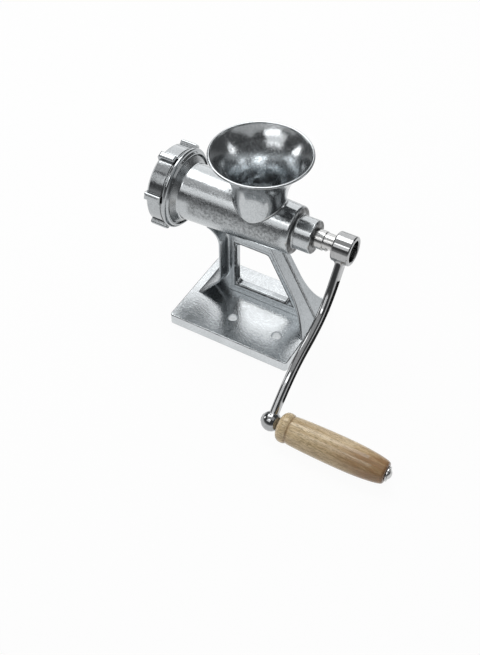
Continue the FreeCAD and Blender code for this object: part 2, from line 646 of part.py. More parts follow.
start_face = [Vector(GRIP_X0 + 0.2, GRIP_Y, GRIP_Z + 9.4), Vector(GRIP_X0, GRIP_Y, GRIP_Z + 8.6),
              Vector(GRIP_X0, GRIP_Y, GRIP_Z + GRIP_BORE_R)]
end_face = [Vector(GRIP_X1 - 0.2, GRIP_Y, GRIP_Z + 7.4), Vector(GRIP_X1, GRIP_Y, GRIP_Z + 6.8),
            Vector(GRIP_X1, GRIP_Y, GRIP_Z + GRIP_BORE_R)]
grip_edges = [spline(grip_points(line)) for line in (grip_line, palm_line, end_line)]
grip_edges += [Part.makeLine(a, b) for a, b in zip(start_face, start_face[1:])]
grip_edges += [Part.makeLine(a, b) for a, b in zip(end_face, end_face[1:])]
grip_edges.append(Part.makeLine(start_face[-1], end_face[-1]))
grip_face = Part.Face(Part.Wire(Part.__sortEdges__(grip_edges)))
grip = grip_face.revolve(Vector(0, GRIP_Y, GRIP_Z), X_DIR, 360)
save(grip, "wood_grip")

WASHER_X0 = GRIP_X1 + 0.3
spindle = cyl_x(CRANK_X - BALL_R + 0.6, WASHER_X0 + END_WASHER_T, SPINDLE_R, GRIP_Y, GRIP_Z)
dome_r = (RIVET_R ** 2 + RIVET_H ** 2) / (2 * RIVET_H)
dome = Part.makeSphere(dome_r, Vector(WASHER_X0 + END_WASHER_T + RIVET_H - dome_r, GRIP_Y, GRIP_Z))
dome = dome.common(cyl_x(WASHER_X0 + END_WASHER_T, WASHER_X0 + 20, dome_r + 1, GRIP_Y, GRIP_Z))
save(spindle.fuse(dome), "grip_spindle")

end_washer = cyl_x(WASHER_X0, WASHER_X0 + END_WASHER_T, END_WASHER_R, GRIP_Y, GRIP_Z)
end_washer = end_washer.cut(cyl_x(WASHER_X0 - 1, WASHER_X0 + 3, SPINDLE_R, GRIP_Y, GRIP_Z))
save(end_washer, "end_washer")
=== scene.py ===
import math

import bmesh
import bpy
from bpy.props import FloatProperty, FloatVectorProperty, IntProperty, PointerProperty
from mathutils import Matrix, Vector


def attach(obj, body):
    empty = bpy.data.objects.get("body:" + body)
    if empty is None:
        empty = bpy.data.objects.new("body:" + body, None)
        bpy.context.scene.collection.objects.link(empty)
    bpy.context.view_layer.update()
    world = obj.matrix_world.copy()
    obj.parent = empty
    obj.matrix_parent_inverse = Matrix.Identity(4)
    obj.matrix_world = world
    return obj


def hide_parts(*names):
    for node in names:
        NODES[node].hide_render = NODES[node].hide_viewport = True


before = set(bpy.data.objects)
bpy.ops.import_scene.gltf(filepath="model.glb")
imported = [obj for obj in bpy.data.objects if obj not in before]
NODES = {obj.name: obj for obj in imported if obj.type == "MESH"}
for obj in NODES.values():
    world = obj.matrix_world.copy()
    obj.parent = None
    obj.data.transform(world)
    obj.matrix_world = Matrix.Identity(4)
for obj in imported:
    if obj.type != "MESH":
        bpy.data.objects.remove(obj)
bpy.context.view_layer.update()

bl_info = {
    "name": "Hand crank meat grinder",
    "version": (1, 0, 0),
    "blender": (4, 5, 0),
    "location": "View3D > Sidebar > Grinder",
    "description": "Finishes a small cast grinder with a wooden grip and stages it on a pale floor",
    "category": "Object",
}

# Lines that finishes and new pieces are placed by, in metres: the barrel's axis, the middle of
# the hopper and the axis of the grip.
AXIS_Y = 0.015
AXIS_Z = 0.1055
HOPPER_X = -0.001
GRIP_Y = -0.105
GRIP_Z = 0.0133

# Corners of the stand's window in its own plane, in metres along x and z.
WINDOW = ((-0.0214, 0.0198), (0.0336, 0.0208), (0.0094, 0.0676), (-0.0214, 0.0676))

# From the grip's end at the crank to the middle of its groove, in metres.
GROOVE_AT = 0.0100
# Divisions round the turned grip, and how often its surface is then subdivided.
GRIP_STEPS = 40
GRIP_ROUNDING = 2

# Turns of the two screw ridges.
COLLAR_TURNS = 3.25
RING_TURNS = 2.75

# Range that a noise mostly stays in.
NOISE_LOW = 0.3
NOISE_HIGH = 0.7

# Waves per metre of the noises in the metal finishes.
CLOUD_SCALE = 38.0
WAVE_SCALE = 55.0
GRAIN_SCALE = 650.0
SPECK_SCALE = 900.0
SKIN_SCALE = 420.0
SAND_SCALE = 850.0
DENT_SCALE = 160.0
PATCH_SCALE = 45.0
EDGE_REFLECTION_SCALE = 240.0
SHOULDER_SHADE_SCALE = 180.0

# Waves per metre of the scratches along the barrel and along the shaft, on x, y and z.
ALONG_BARREL = (40.0, 900.0, 900.0)
ALONG_SHAFT = (300.0, 900.0, 900.0)

# Waves per metre of the noises in the wood, along the grip and across it both ways.
BAND_STRETCH = (9.0, 95.0, 60.0)
STREAK_STRETCH = (45.0, 480.0, 480.0)
FIBRE_STRETCH = (190.0, 1050.0, 1050.0)
PORE_STRETCH = (260.0, 1300.0, 1300.0)

# The heartwood starts along this slanted direction, between these two places in metres.
HEART_SLANT = (1.0, -1.2, -0.8)
HEART_START = 0.134
HEART_FULL = 0.184

# Rays for each shading point of the corner and edge masks.
MASK_RAYS = 8

# Corners sharper than this stay sharp on new pieces.
CORNER = math.radians(38.0)


def colour_prop(name, description, default):
    """A colour that a user would change."""
    return FloatVectorProperty(name=name, description=description, subtype="COLOR", size=3,
                               min=0.0, max=1.0, default=default)


def length_prop(name, description, default):
    """A length in metres that a user would change."""
    return FloatProperty(name=name, description=description, subtype="DISTANCE", unit="LENGTH",
                         precision=5, default=default)


class GrinderFinish(bpy.types.PropertyGroup):
    """Colours of the metals and the wood."""

    polished: colour_prop("Polished casting", "Buffed aluminium of hopper, barrel, ring and plate",
                          (0.57, 0.595, 0.61))
    as_cast: colour_prop("As-cast metal", "Grainy aluminium of the stand", (0.55, 0.58, 0.60))
    # Colour of grease and the mould seam, and of the painted shade in corners, grooves and bores
    # and the painted dark reflections on edges and turned faces.
    shade_and_grime: colour_prop("Grime", "Dark residue in corners, grooves and bores", (0.035, 0.034, 0.033))
    chrome: colour_prop("Plating", "Bright plating of the crank", (0.45, 0.455, 0.46))
    steel: colour_prop("Steel", "Shaft, knife, plate and small hardware", (0.62, 0.62, 0.615))
    bronze: colour_prop("Bronze", "Bush in the rear boss", (0.62, 0.40, 0.19))
    wood_light: colour_prop("Wood, light", "Pale rings of the grip", (0.89, 0.725, 0.465))
    wood_dark: colour_prop("Wood, dark", "Darker grain of the grip", (0.53, 0.37, 0.19))
    wood_heart: colour_prop("Wood, heart", "Redder heartwood towards the far end",
                            (0.30, 0.135, 0.048))
    wood_burn: colour_prop("Wood, groove", "Toasted line in the turned groove",
                           (0.20, 0.095, 0.035))


class GrinderThread(bpy.types.PropertyGroup):
    """Sizes of the coarse thread between collar and ring."""

    pitch: length_prop("Pitch", "Advance in one turn of the ring", 0.004)
    collar_root: length_prop("Collar root radius", "Foot of the thread on the barrel", 0.0299)
    collar_crest: length_prop("Collar crest radius", "Top of the thread on the barrel", 0.0310)
    ring_root: length_prop("Ring root radius", "Foot of the thread inside the ring", 0.0314)
    ring_crest: length_prop("Ring crest radius", "Top of the thread inside the ring", 0.03025)
    foot_width: length_prop("Foot width", "Width of a ridge at its foot", 0.0022)
    crest_width: length_prop("Crest width", "Width of a ridge at its top", 0.0010)
    start: length_prop("Start", "Where the collar's ridge begins along the barrel", -0.0857)
    steps: IntProperty(name="Steps", description="Divisions in one turn", default=72, min=12)


class GrinderGrip(bpy.types.PropertyGroup):
    """Sizes of the turned grip."""

    start: length_prop("Start", "End next to the crank's ball", 0.0860)
    end: length_prop("End", "End next to the small washer", 0.1800)
    bore: length_prop("Bore radius", "Clearance hole for the spindle", 0.0036)
    collar: length_prop("Collar radius", "Rounded collar at the crank end", 0.0129)
    groove: length_prop("Groove radius", "Foot of the groove behind the collar", 0.0114)
    belly: length_prop("Belly radius", "Widest part of the grip", 0.0129)
    tip: length_prop("Tip radius", "Far end before it rounds over", 0.0102)


class GrinderStage(bpy.types.PropertyGroup):
    """Camera, lamps and floor."""

    aim: FloatVectorProperty(name="Aim", description="Point that the camera looks at",
                             subtype="XYZ", unit="LENGTH", size=3,
                             default=(0.008363, -0.034357, 0.020427))
    azimuth: FloatProperty(name="Azimuth", description="Camera's turn round the grinder",
                           subtype="ANGLE", default=math.radians(29.966))
    elevation: FloatProperty(name="Elevation", description="Camera's height above the horizon",
                             subtype="ANGLE", default=math.radians(47.221))
    distance: length_prop("Distance", "From the camera to the aim", 0.914503)
    lens: FloatProperty(name="Lens", description="Focal length in millimetres",
                        subtype="DISTANCE_CAMERA", default=58.378)
    floor_size: length_prop("Floor size", "Side of the floor", 40.0)
    floor_colour: colour_prop("Floor", "Pale floor", (0.86, 0.86, 0.86))
    room_colour: colour_prop("Room", "Dim studio overhead", (0.085, 0.086, 0.088))
    horizon_colour: colour_prop("Horizon", "Studio wall where the floor ends", (0.33, 0.332, 0.335))


def start_material(name):
    """An empty material with one shader joined to its output."""
    material = bpy.data.materials.new(name)
    material.use_nodes = True
    tree = material.node_tree
    tree.nodes.clear()
    output = tree.nodes.new("ShaderNodeOutputMaterial")
    shader = tree.nodes.new("ShaderNodeBsdfPrincipled")
    tree.links.new(shader.outputs["BSDF"], output.inputs["Surface"])
    return material, tree, shader


def place(tree, scale=(1.0, 1.0, 1.0), centre=(0.0, 0.0, 0.0)):
    """Object coordinates in metres, stretched about a centre."""
    coords = tree.nodes.new("ShaderNodeTexCoord")
    mapping = tree.nodes.new("ShaderNodeMapping")
    mapping.inputs["Scale"].default_value = scale
    mapping.inputs["Location"].default_value = [-c * s for c, s in zip(centre, scale)]
    tree.links.new(coords.outputs["Object"], mapping.inputs["Vector"])
    return mapping.outputs["Vector"]


def noise(tree, where, scale, detail=4.0, rough=0.55, distort=0.0):
    """Cloudy noise, about 0.3 to 0.7."""
    texture = tree.nodes.new("ShaderNodeTexNoise")
    texture.inputs["Scale"].default_value = scale
    texture.inputs["Detail"].default_value = detail
    texture.inputs["Roughness"].default_value = rough
    texture.inputs["Distortion"].default_value = distort
    tree.links.new(where, texture.inputs["Vector"])
    return texture.outputs["Fac"]


def remap(tree, source, low, high, to_low, to_high):
    """Carry a value from one range to another, held at the ends."""
    node = tree.nodes.new("ShaderNodeMapRange")
    node.interpolation_type = "SMOOTHSTEP"
    ends = {"From Min": low, "From Max": high, "To Min": to_low, "To Max": to_high}
    for socket, value in ends.items():
        node.inputs[socket].default_value = value
    tree.links.new(source, node.inputs["Value"])
    return node.outputs["Result"]


def spread(tree, source, to_low, to_high):
    """Carry a noise from its usual range to another."""
    return remap(tree, source, NOISE_LOW, NOISE_HIGH, to_low, to_high)


def combine(tree, operation, first, second):
    """One sum on two values, either of which may be a plain number."""
    node = tree.nodes.new("ShaderNodeMath")
    node.operation = operation
    for socket, value in zip(node.inputs, (first, second)):
        if isinstance(value, (int, float)):
            socket.default_value = value
        else:
            tree.links.new(value, socket)
    return node.outputs["Value"]


def split(tree, vector):
    """The outputs X, Y and Z of a vector."""
    node = tree.nodes.new("ShaderNodeSeparateXYZ")
    tree.links.new(vector, node.inputs["Vector"])
    return node.outputs


def dot(tree, first, second):
    """How far a vector runs along another, which may be plain numbers."""
    node = tree.nodes.new("ShaderNodeVectorMath")
    node.operation = "DOT_PRODUCT"
    tree.links.new(first, node.inputs[0])
    if isinstance(second, bpy.types.NodeSocket):
        tree.links.new(second, node.inputs[1])
    else:
        node.inputs[1].default_value = second
    return node.outputs["Value"]


def near(tree, value, middle, inner, outer, strength):
    """Mask of a band about a middle value: full within inner of it, none beyond outer."""
    off = combine(tree, "ABSOLUTE", combine(tree, "SUBTRACT", value, middle), 0.0)
    return remap(tree, off, inner, outer, strength, 0.0)


def mix_colours(tree, factor, first, second):
    """Blend two colours, either of which may come from a node."""
    node = tree.nodes.new("ShaderNodeMix")
    node.data_type = "RGBA"
    tree.links.new(factor, node.inputs[0])
    for socket, value in ((node.inputs[6], first), (node.inputs[7], second)):
        if isinstance(value, bpy.types.NodeSocket):
            tree.links.new(value, socket)
        else:
            socket.default_value = (*value, 1.0)
    return node.outputs[2]


def bump(tree, height, depth, under=None):
    """Raise the surface by a height of this depth in metres."""
    node = tree.nodes.new("ShaderNodeBump")
    node.inputs["Strength"].default_value = 1.0
    node.inputs["Distance"].default_value = depth
    tree.links.new(height, node.inputs["Height"])
    if under is not None:
        tree.links.new(under, node.inputs["Normal"])
    return node.outputs["Normal"]


def shade(colour, factor):
    """A darker or lighter tone of one colour."""
    return [min(1.0, channel * factor) for channel in colour]


def recess(tree, reach):
    """One in corners, grooves and bores narrower than the reach, zero on open surfaces; it places
    painted shade.
    """
    node = tree.nodes.new("ShaderNodeAmbientOcclusion")
    node.samples = MASK_RAYS
    node.only_local = True
    node.inputs["Distance"].default_value = reach
    return remap(tree, node.outputs["AO"], 0.30, 0.80, 1.0, 0.0)


def eased_edges(tree, radius):
    """Surface direction with every edge rounded by hand polishing."""
    node = tree.nodes.new("ShaderNodeBevel")
    node.samples = MASK_RAYS
    node.inputs["Radius"].default_value = radius
    return node.outputs["Normal"]


def painted_edge_dark(tree, radius, strength):
    """Mask of the edges and corners, painted dark: a painted dark reflection on edge roundings and
    painted shade in corners.
    """
    true = tree.nodes.new("ShaderNodeNewGeometry")
    match = dot(tree, eased_edges(tree, radius), true.outputs["Normal"])
    return remap(tree, match, 0.82, 0.99, strength, 0.0)


def facing(tree, axis):
    """How far the surface faces along X, Y or Z."""
    true = tree.nodes.new("ShaderNodeNewGeometry")
    return split(tree, true.outputs["Normal"])[axis]


def painted_edge_reflection(tree):
    """Mask of a broken dark line along the rounding of level edges, a painted dark reflection."""
    ragged = noise(tree, place(tree), EDGE_REFLECTION_SCALE)
    return combine(tree, "MULTIPLY", near(tree, facing(tree, "Z"), 0.55, 0.20, 0.42, 0.9),
                   remap(tree, ragged, 0.38, 0.58, 0.25, 1.0))


def painted_shoulder_shade(tree):
    """Mask of the turned faces towards the crank, which stay dull and are painted dark as shade."""
    ragged = noise(tree, place(tree), SHOULDER_SHADE_SCALE)
    return combine(tree, "MULTIPLY", remap(tree, facing(tree, "X"), 0.60, 0.95, 0.0, 0.92),
                   remap(tree, ragged, 0.36, 0.60, 0.65, 1.0))


def axis_distance(tree, across, centre):
    """Distance in metres from a line through the centre; across holds 1 for the axes it spans."""
    node = tree.nodes.new("ShaderNodeVectorMath")
    node.operation = "LENGTH"
    tree.links.new(place(tree, scale=across, centre=centre), node.inputs[0])
    return node.outputs["Value"]


def buffed_metal(name, colour, gloss, dull, lay, shade_and_grime, wave=0.00012, scratch=0.000008,
                 pits=0.00002, sand=0.00003, reach=0.004, ease=0.0006, edge_dark=0.35,
                 edge_dark_reach=0.0008, panel=None, panel_dull=0.12, panel_tone_and_painted_light=0.33,
                 panel_depth=0.0004, more_painted_dark=None):
    """Hand-buffed metal: slow waves, scratches along the lay, pits, cloudy gloss, and dark recesses
    and edges, which are painted shade and painted dark reflections with some grease.

    The panel, if there is one, makes the mask of an area that was left as cast, with its own
    added roughness, tone of its grain and depth of its grain; a tone above one paints light there.
    The extra mask, if there is one, adds more places painted dark than the recesses and the edges.
    """
    material, tree, shader = start_material(name)
    plain = place(tree)
    along = place(tree, scale=lay)
    cloud = noise(tree, plain, CLOUD_SCALE, detail=5.0)
    fine = noise(tree, along, 1.0, detail=7.0, rough=0.65)
    grain = noise(tree, plain, GRAIN_SCALE, detail=4.0, rough=0.65)
    speck = noise(tree, plain, SPECK_SCALE, detail=2.0)
    tint = mix_colours(tree, spread(tree, cloud, 0.0, 1.0), shade(colour, 0.88), colour)
    dark_grain = remap(tree, grain, 0.35, 0.65, 0.35, 0.0)
    tint = mix_colours(tree, dark_grain, tint, shade(colour, 0.55))
    scuffs = combine(tree, "ADD", spread(tree, fine, -0.25, 0.25), spread(tree, grain, -0.25, 0.25))
    level = combine(tree, "ADD", spread(tree, cloud, 0.3, 0.7), scuffs)
    rough = remap(tree, level, 0.0, 1.0, gloss, dull)
    swell = noise(tree, plain, WAVE_SCALE, detail=2.0)
    normal = bump(tree, swell, wave, eased_edges(tree, ease))
    normal = bump(tree, fine, scratch, normal)
    normal = bump(tree, grain, sand, normal)
    normal = bump(tree, remap(tree, speck, 0.28, 0.40, 0.0, 1.0), pits, normal)
    if panel is not None:
        mask = panel(tree)
        skin = noise(tree, plain, SKIN_SCALE, detail=5.0, rough=0.7)
        grainy = combine(tree, "MULTIPLY", mask, remap(tree, skin, 0.35, 0.65, 0.95, 0.15))
        tint = mix_colours(tree, grainy, tint, shade(colour, panel_tone_and_painted_light))
        rough = combine(tree, "ADD", rough, combine(tree, "MULTIPLY", mask, panel_dull))
        normal = bump(tree, combine(tree, "MULTIPLY", mask, skin), panel_depth, normal)
    # Painted shade in recesses and painted dark reflections on edges, with some grease, darken the
    # colour here.
    shade_and_grime_mask = combine(tree, "MAXIMUM", recess(tree, reach), painted_edge_dark(tree, edge_dark_reach, edge_dark))
    if more_painted_dark is not None:
        shade_and_grime_mask = combine(tree, "MAXIMUM", shade_and_grime_mask, more_painted_dark(tree))
    rough = combine(tree, "ADD", rough, combine(tree, "MULTIPLY", shade_and_grime_mask, 0.20))
    tree.links.new(mix_colours(tree, shade_and_grime_mask, tint, shade_and_grime), shader.inputs["Base Color"])
    tree.links.new(rough, shader.inputs["Roughness"])
    tree.links.new(normal, shader.inputs["Normal"])
    shader.inputs["Metallic"].default_value = 1.0
    return material


def barrel_panel(tree):
    """Mask of the bare strip along the lower front of the barrel, which was left as cast."""
    parts = split(tree, place(tree, centre=(-0.014, AXIS_Y, AXIS_Z + 0.004)))
    height = combine(tree, "ABSOLUTE", parts["Z"], 0.0)
    length = combine(tree, "ABSOLUTE", parts["X"], 0.0)
    strip = combine(tree, "MULTIPLY", remap(tree, height, 0.0040, 0.0105, 1.0, 0.0),
                    remap(tree, length, 0.040, 0.046, 1.0, 0.0))
    front = remap(tree, parts["Y"], -0.016, -0.012, 1.0, 0.0)
    return combine(tree, "MULTIPLY", strip, front)


def throat_panel_painted_light(tree):
    """Mask of the hopper's lower inside, which the buffing wheel doesn't reach; the panel's tone
    paints it lighter there, a painted reflection.
    """
    coords = tree.nodes.new("ShaderNodeTexCoord")
    from_middle = place(tree, scale=(1.0, 1.0, 0.0), centre=(HOPPER_X, AXIS_Y, 0.0))
    inside = remap(tree, dot(tree, coords.outputs["Normal"], from_middle), -0.004, 0.0, 1.0, 0.0)
    low = remap(tree, split(tree, place(tree))["Z"], 0.1595, 0.1615, 1.0, 0.0)
    return combine(tree, "MULTIPLY", inside, low)


def window_distance(tree):
    """Distance in metres outwards from the stand's window."""
    where = place(tree)
    away = None
    for (x0, z0), (x1, z1) in zip(WINDOW, WINDOW[1:] + WINDOW[:1]):
        length = math.hypot(x1 - x0, z1 - z0)
        outward = ((z1 - z0) / length, 0.0, (x0 - x1) / length)
        edge = x0 * outward[0] + z0 * outward[2]
        past = combine(tree, "SUBTRACT", dot(tree, where, outward), edge)
        away = past if away is None else combine(tree, "MAXIMUM", away, past)
    return away


def rim_reflections_and_seam(tree):
    """Mask of dark lines: painted reflections of a rounded rim round the window, and a ragged mould
    seam on the middle plane.
    """
    ragged = noise(tree, place(tree), SKIN_SCALE, detail=3.0)
    away = window_distance(tree)
    painted_rim_lines = combine(tree, "MAXIMUM", near(tree, away, 0.0014, 0.0004, 0.0011, 0.95),
                   near(tree, away, 0.0046, 0.0001, 0.0006, 0.45))
    wander = combine(tree, "ADD", split(tree, place(tree))["Y"],
                     spread(tree, ragged, -0.0003, 0.0003))
    seam = near(tree, wander, AXIS_Y, 0.00025, 0.0006, 0.85)
    seam = combine(tree, "MULTIPLY", seam, remap(tree, away, 0.0030, 0.0050, 0.0, 1.0))
    broken = remap(tree, ragged, 0.36, 0.58, 0.4, 1.0)
    return combine(tree, "MULTIPLY", combine(tree, "MAXIMUM", painted_rim_lines, seam), broken)


def cast_metal(name, colour, shade_and_grime, reach=0.006, seam=False):
    """Metal as it left the mould: sandy grain, soft dents, dull patches, painted shade in recesses
    and painted dark reflections on edges, and, on request, a seam with painted rim reflections.
    """
    material, tree, shader = start_material(name)
    plain = place(tree)
    sand = noise(tree, plain, SAND_SCALE, detail=5.0, rough=0.7)
    dents = noise(tree, plain, DENT_SCALE, detail=4.0)
    patches = noise(tree, plain, PATCH_SCALE, detail=5.0)
    tone = combine(tree, "ADD", spread(tree, sand, 0.0, 0.5), spread(tree, patches, 0.0, 0.5))
    tint = mix_colours(tree, tone, shade(colour, 0.60), shade(colour, 1.06))
    normal = bump(tree, dents, 0.00010, eased_edges(tree, 0.0008))
    normal = bump(tree, sand, 0.00009, normal)
    # The seam flag also paints dark reflections of a rim round the window.
    if seam:
        line = rim_reflections_and_seam(tree)
        tint = mix_colours(tree, line, tint, shade_and_grime)
        normal = bump(tree, line, 0.00006, normal)
    # Painted shade in recesses and painted dark reflections on edges, with some grease, darken the
    # colour here.
    shade_and_grime_mask = combine(tree, "MAXIMUM", recess(tree, reach), painted_edge_dark(tree, 0.0010, 0.55))
    tree.links.new(mix_colours(tree, shade_and_grime_mask, tint, shade_and_grime), shader.inputs["Base Color"])
    tree.links.new(spread(tree, patches, 0.15, 0.30), shader.inputs["Roughness"])
    tree.links.new(normal, shader.inputs["Normal"])
    shader.inputs["Metallic"].default_value = 1.0
    return material


def turned_wood(name, finish, grip):
    """Lacquered hardwood off a lathe: bands, fibre, pores, a heartwood end and toasted edges."""
    material, tree, shader = start_material(name)
    centre = (0.0, GRIP_Y, GRIP_Z)
    bands = noise(tree, place(tree, BAND_STRETCH, centre), 1.0, distort=1.8)
    streaks = noise(tree, place(tree, STREAK_STRETCH, centre), 1.0, detail=5.0, rough=0.75)
    fibre = noise(tree, place(tree, FIBRE_STRETCH, centre), 1.0, rough=0.65)
    pores = noise(tree, place(tree, PORE_STRETCH, centre), 1.0, detail=2.0)
    along = split(tree, place(tree))["X"]
    tone = combine(tree, "ADD", remap(tree, bands, 0.32, 0.66, 0.0, 0.45),
                   remap(tree, streaks, 0.34, 0.66, 0.0, 0.55))
    colour = mix_colours(tree, tone, finish.wood_dark, finish.wood_light)
    flame = combine(tree, "ADD", dot(tree, place(tree, centre=centre), HEART_SLANT),
                    spread(tree, bands, -0.022, 0.022))
    heart = remap(tree, flame, HEART_START, HEART_FULL, 0.0, 0.82)
    colour = mix_colours(tree, heart, colour, finish.wood_heart)
    flecks = combine(tree, "MAXIMUM", remap(tree, pores, 0.34, 0.45, 0.7, 0.0),
                     remap(tree, fibre, 0.38, 0.54, 0.55, 0.0))
    colour = mix_colours(tree, flecks, colour, shade(finish.wood_dark, 0.55))
    end = combine(tree, "SUBTRACT", grip.end, along)
    burn = combine(tree, "MAXIMUM", near(tree, along, grip.start + GROOVE_AT, 0.0002, 0.0014, 0.6),
                   remap(tree, end, 0.0006, 0.0026, 0.85, 0.0))
    toast = combine(tree, "MULTIPLY", burn, spread(tree, streaks, 0.75, 1.0))
    tree.links.new(mix_colours(tree, toast, colour, finish.wood_burn), shader.inputs["Base Color"])
    tree.links.new(spread(tree, streaks, 0.34, 0.52), shader.inputs["Roughness"])
    shader.inputs["Specular IOR Level"].default_value = 0.15
    shader.inputs["Coat Weight"].default_value = 0.7
    shader.inputs["Coat Roughness"].default_value = 0.05
    normal = bump(tree, streaks, 0.00010)
    normal = bump(tree, fibre, 0.00006, normal)
    tree.links.new(normal, shader.inputs["Normal"])
    return material


def dress(material, *names):
    """Give CAD nodes a material."""
    for name in names:
        node = NODES[name]
        if not node.material_slots:
            node.data.materials.append(material)
        for slot in node.material_slots:
            slot.material = material


def finish_piece(bm, name, material, body):
    """Turn a bmesh into a smooth piece with sharp corners that rides on a body."""
    bmesh.ops.remove_doubles(bm, verts=bm.verts, dist=1e-6)
    bmesh.ops.recalc_face_normals(bm, faces=bm.faces)
    mesh = bpy.data.meshes.new(name)
    for face in bm.faces:
        face.smooth = True
    bm.to_mesh(mesh)
    bm.free()
    mesh.set_sharp_from_angle(angle=CORNER)
    piece = bpy.data.objects.new(name, mesh)
    bpy.context.scene.collection.objects.link(piece)
    mesh.materials.append(material)
    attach(piece, body)
    return piece


def chain(bm, points):
    """Join a few points into a line of edges."""
    verts = [bm.verts.new(point) for point in points]
    edges = [bm.edges.new(pair) for pair in zip(verts, verts[1:])]
    return verts, edges


def thread_ridge(thread, start, turns, root, crest):
    """A right-handed screw ridge about the barrel's axis; start is the x of its first middle."""
    bm = bmesh.new()
    foot, top = thread.foot_width / 2, thread.crest_width / 2
    outline = ((start - foot, root), (start - top, crest),
               (start + top, crest), (start + foot, root))
    verts, edges = chain(bm, [(x, AXIS_Y, AXIS_Z + r) for x, r in outline])
    edges.append(bm.edges.new((verts[-1], verts[0])))
    bmesh.ops.spin(bm, geom=verts + edges, cent=(0.0, AXIS_Y, AXIS_Z), axis=(1.0, 0.0, 0.0),
                   dvec=(thread.pitch / thread.steps, 0.0, 0.0), angle=2 * math.pi * turns,
                   steps=round(thread.steps * turns))
    bmesh.ops.holes_fill(bm, edges=[edge for edge in bm.edges if edge.is_boundary], sides=4)
    return bm


# The floor lies this far under the grinder, in metres.
FLOOR_DROP = 0.0003
# The floor is white up to the first distance from its pale middle and grey past the second.
PALE_MIDDLE = (0.0, 0.60, 0.0)
PALE_TO = 0.90
GREY_FROM = 2.60
# Share of the floor's own glow where it is seen, the rest being the light that falls on it.
GLOW_SHARE = 0.95
# The wall turns into the dim overhead over this rise.
WALL_RISE = 0.30
# Width of the camera's sensor in millimetres.
SENSOR_WIDTH = 36.0

# Soft boxes: name, heading from the grinder, width and height in metres, brightness.
SOFT_BOXES = (
    ("soft_box_over", (-0.33, 0.30, 0.89), 1.20, 0.70, 3.6),
    ("soft_box_back", (-0.37, 0.80, 0.45), 0.85, 1.25, 1.20),
    ("soft_box_ceiling", (0.0, -0.08, 1.0), 2.20, 1.10, 0.48),
    ("soft_box_front", (-0.18, -0.71, 0.68), 0.95, 0.55, 1.15),
    ("soft_box_strip", (-0.05, -0.56, 0.83), 0.62, 0.20, 2.8),
    ("soft_box_left", (-0.94, -0.15, 0.30), 0.34, 0.34, 3.0),
    ("soft_box_right", (0.80, 0.46, 0.38), 0.32, 0.32, 2.0),
)
# Point that the soft boxes face, and how far they stand from it, in metres.
LAMP_AIM = Vector((0.0, 0.0, 0.10))
LAMP_DISTANCE = 1.3


